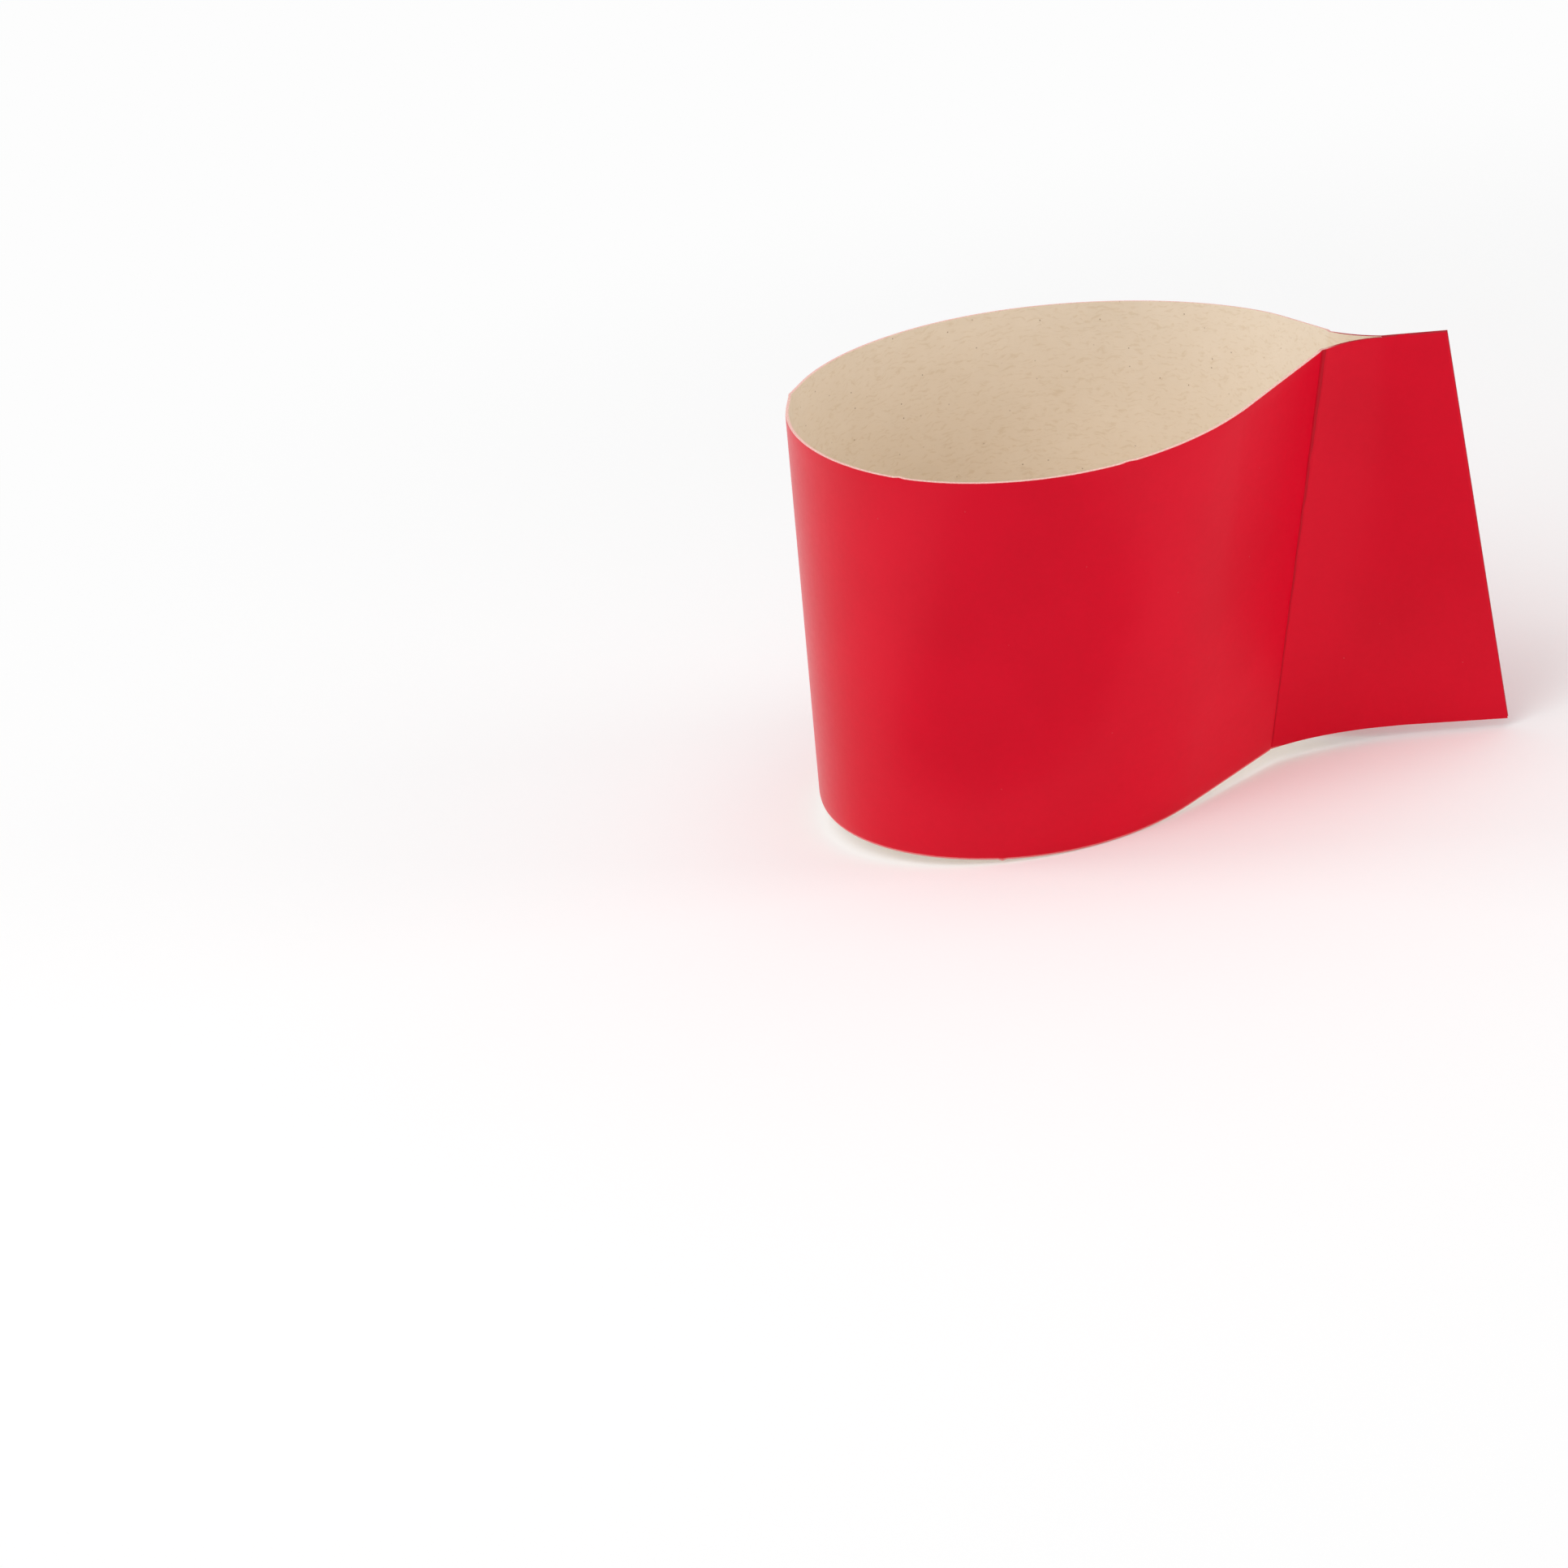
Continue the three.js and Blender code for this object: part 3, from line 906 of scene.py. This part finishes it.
def seamless_floor(studio):
    """Painted studio floor, matt: its own pale colour, with the sleeve's shadow and a little of its red."""
    material, tree = new_material("matt_painted_floor", studio.floor)
    place = add(tree, "ShaderNodeTexCoord").outputs["Object"]
    grain = add(tree, "ShaderNodeTexNoise", {"Vector": place, "Scale": 1 / FLOOR_GRAIN, "Detail": 2.0})
    relief = add(tree, "ShaderNodeBump", {"Height": grain, "Strength": 0.02, "Distance": MM})
    rays = add(tree, "ShaderNodeLightPath").outputs
    mirrored = add(tree, "ShaderNodeMath", {
        0: rays["Is Glossy Ray"],
        1: rays["Is Transmission Ray"],
    }, operation="ADD")
    seen = add(tree, "ShaderNodeMath", {0: rays["Is Camera Ray"], 1: mirrored}, operation="ADD")
    lift = add(tree, "ShaderNodeMath", {0: seen, 1: studio.floor_lift}, operation="MULTIPLY")
    shader = add(tree, "ShaderNodeBsdfPrincipled", {
        "Base Color": opaque(studio.floor),
        "Roughness": 0.9,
        "Specular IOR Level": 0.0,
        "Emission Color": opaque(studio.floor),
        "Emission Strength": lift,
        "Normal": relief,
    })
    # Away from the sleeve the floor turns into the white background, with no line between them
    away = add(tree, "ShaderNodeVectorMath", {0: place}, operation="LENGTH").outputs["Value"]
    distant = add(tree, "ShaderNodeMapRange", {
        "Value": away,
        "From Min": studio.floor_near,
        "From Max": studio.floor_far,
    }, interpolation_type="SMOOTHSTEP")
    far = add(tree, "ShaderNodeMath", {0: distant, 1: seen}, operation="MULTIPLY")
    white = add(tree, "ShaderNodeEmission", {"Color": opaque(studio.floor), "Strength": 1.0})
    surface = add(tree, "ShaderNodeMixShader", {0: far, 1: shader, 2: white})
    add(tree, "ShaderNodeOutputMaterial", {"Surface": surface})
    return material


def black_paper():
    """Uncoated paper dyed black in the pulp. It takes in nearly all light, so gloss facing it stays dark."""
    material, tree = new_material("black_paper_dyed_pulp", linear(PAPER_DARK))
    place = add(tree, "ShaderNodeTexCoord").outputs["Object"]
    grain = add(tree, "ShaderNodeTexNoise", {"Vector": place, "Scale": 1 / PAPER_GRAIN})
    tone = add(tree, "ShaderNodeMix", {
        0: grain,
        6: opaque(linear(PAPER_DARK)),
        7: opaque(linear(PAPER_PALE)),
    }, data_type="RGBA").outputs[2]
    shader = add(tree, "ShaderNodeBsdfDiffuse", {"Color": tone})
    add(tree, "ShaderNodeOutputMaterial", {"Surface": shader})
    return material


class CUPSLEEVE_OT_fold_card(Operator):
    """Fold the red card strip into the sleeve and give it its printed, bare and cut faces"""

    bl_idname = "cup_sleeve.fold_card"
    bl_label = "Fold card"
    bl_options = {"REGISTER", "UNDO"}

    piece_name: StringProperty(name="Piece name", description="Name of the made piece", default="card_sleeve")

    def execute(self, context):
        scene = context.scene
        leaf = Leaf(scene.sleeve_sizes)
        skin = SleeveMesh(leaf).build()
        skin.transform(resting_place(leaf))
        data = bpy.data.meshes.new(self.piece_name)
        skin.to_mesh(data)
        skin.free()
        if data.validate():
            raise RuntimeError("the sleeve's mesh had bad faces")
        data.set_sharp_from_angle(angle=SHARP_EDGE)
        colours = scene.sleeve_colours
        data.materials.append(coated_card(colours, scene.sleeve_sizes))
        data.materials.append(bare_board(colours))
        data.materials.append(cut_board(colours))
        piece = bpy.data.objects.new(self.piece_name, data)
        context.collection.objects.link(piece)
        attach(piece, "root")
        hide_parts(NODE)
        return {"FINISHED"}


def toward(aim, azimuth, elevation, distance):
    """A place at this distance from aim. Azimuth 0 is on the -Y side and 90 on the +X side."""
    back = Vector((sin(azimuth) * cos(elevation), -cos(azimuth) * cos(elevation), sin(elevation)))
    return Vector(aim) + back * distance


def softbox(context, name, power, azimuth, elevation, distance, size):
    """A large lamp that faces the sleeve. Angles are in degrees, the distance and the size in metres."""
    data = bpy.data.lights.new(name, "AREA")
    data.shape = "RECTANGLE"
    data.size, data.size_y = size
    data.energy = power
    lamp = bpy.data.objects.new(name, data)
    aim = Vector(LAMP_AIM)
    lamp.location = toward(aim, radians(azimuth), radians(elevation), distance)
    lamp.rotation_euler = (lamp.location - aim).to_track_quat("Z", "Y").to_euler()
    lamp.visible_camera = False
    context.collection.objects.link(lamp)


def wide_floor(context, studio):
    """The floor that the sleeve stands on."""
    half = studio.floor_size / 2
    corners = [(-half, -half, 0), (half, -half, 0), (half, half, 0), (-half, half, 0)]
    data = bpy.data.meshes.new("floor")
    data.from_pydata(corners, [], [(0, 1, 2, 3)])
    data.materials.append(seamless_floor(studio))
    floor = bpy.data.objects.new("floor", data)
    context.collection.objects.link(floor)


def dark_card(context, studio):
    """A dark card on the floor in front of the sleeve. It shows only as deep red in the sleeve's gloss."""
    low = Vector(studio.card_low)
    high = Vector(studio.card_high)
    corners = [(low.x, low.y, PAPER_LIFT), (high.x, low.y, PAPER_LIFT), (high.x, high.y, PAPER_LIFT),
               (low.x, high.y, PAPER_LIFT)]
    data = bpy.data.meshes.new("dark_card")
    data.from_pydata(corners, [], [(0, 1, 2, 3)])
    data.materials.append(black_paper())
    card = bpy.data.objects.new("dark_card", data)
    card.visible_camera = False
    card.visible_diffuse = False
    card.visible_shadow = False
    context.collection.objects.link(card)


def studio_camera(context, studio):
    """The camera at the photograph's viewing angle."""
    data = bpy.data.cameras.new("camera")
    data.lens = studio.lens
    data.sensor_width = studio.sensor
    data.clip_start = CLIP_NEAR
    data.clip_end = CLIP_FAR
    camera = bpy.data.objects.new("camera", data)
    aim = Vector(studio.aim)
    camera.location = toward(aim, studio.azimuth, studio.elevation, studio.distance)
    look = (camera.location - aim).to_track_quat("Z", "Y")
    camera.rotation_euler = (look.to_matrix() @ Matrix.Rotation(studio.roll, 3, "Z")).to_euler()
    context.collection.objects.link(camera)
    context.scene.camera = camera


def studio_world(studio):
    """Even light from all round, white to the camera."""
    world = bpy.data.worlds.new("studio")
    world.use_nodes = True
    tree = world.node_tree
    tree.nodes.clear()
    seen = add(tree, "ShaderNodeLightPath").outputs["Is Camera Ray"]
    strength = add(tree, "ShaderNodeMapRange", {"Value": seen, "To Min": studio.world_strength})
    background = add(tree, "ShaderNodeBackground", {"Color": opaque(studio.floor), "Strength": strength})
    add(tree, "ShaderNodeOutputWorld", {"Surface": background})
    return world


class CUPSLEEVE_OT_set_stage(Operator):
    """Lay the pale floor, hang the lamps and place the camera"""

    bl_idname = "cup_sleeve.set_stage"
    bl_label = "Set stage"
    bl_options = {"REGISTER", "UNDO"}

    def execute(self, context):
        scene = context.scene
        studio = scene.sleeve_studio
        wide_floor(context, studio)
        dark_card(context, studio)
        softbox(context, "front_softbox", studio.front_power,
                azimuth=-34, elevation=46, distance=1.1, size=(0.9, 0.9))
        softbox(context, "left_softbox", studio.left_power,
                azimuth=-98, elevation=14, distance=0.9, size=(0.3, 0.8))
        softbox(context, "right_softbox", studio.right_power,
                azimuth=86, elevation=8, distance=0.8, size=(0.35, 0.5))
        softbox(context, "top_softbox", studio.top_power,
                azimuth=0, elevation=80, distance=1.3, size=(1.4, 1.4))
        studio_camera(context, studio)
        scene.world = studio_world(studio)
        scene.view_settings.view_transform = "Standard"
        return {"FINISHED"}


class CUPSLEEVE_PT_sidebar(Panel):
    """The sleeve's settings and its two steps"""

    bl_idname = "CUPSLEEVE_PT_sidebar"
    bl_label = "Cup Sleeve"
    bl_space_type = "VIEW_3D"
    bl_region_type = "UI"
    bl_category = "Cup Sleeve"

    def draw(self, context):
        layout = self.layout
        for title, group in (
            ("Sizes", context.scene.sleeve_sizes),
            ("Colours", context.scene.sleeve_colours),
            ("Studio", context.scene.sleeve_studio),
        ):
            box = layout.box()
            box.label(text=title)
            for name in group.__annotations__:
                box.prop(group, name)
        layout.operator(CUPSLEEVE_OT_fold_card.bl_idname)
        layout.operator(CUPSLEEVE_OT_set_stage.bl_idname)


CLASSES = (
    SleeveSizes,
    SleeveColours,
    StudioSettings,
    CUPSLEEVE_OT_fold_card,
    CUPSLEEVE_OT_set_stage,
    CUPSLEEVE_PT_sidebar,
)


def register():
    """Registers the settings, the operators and the panel."""
    for cls in CLASSES:
        bpy.utils.register_class(cls)
    bpy.types.Scene.sleeve_sizes = PointerProperty(type=SleeveSizes)
    bpy.types.Scene.sleeve_colours = PointerProperty(type=SleeveColours)
    bpy.types.Scene.sleeve_studio = PointerProperty(type=StudioSettings)


def unregister():
    """Removes what register added."""
    del bpy.types.Scene.sleeve_studio
    del bpy.types.Scene.sleeve_colours
    del bpy.types.Scene.sleeve_sizes
    for cls in reversed(CLASSES):
        bpy.utils.unregister_class(cls)


def main():
    """Builds the sleeve and its studio."""
    register()
    bpy.ops.cup_sleeve.fold_card()
    bpy.ops.cup_sleeve.set_stage()


if __name__ == "__main__":
    main()
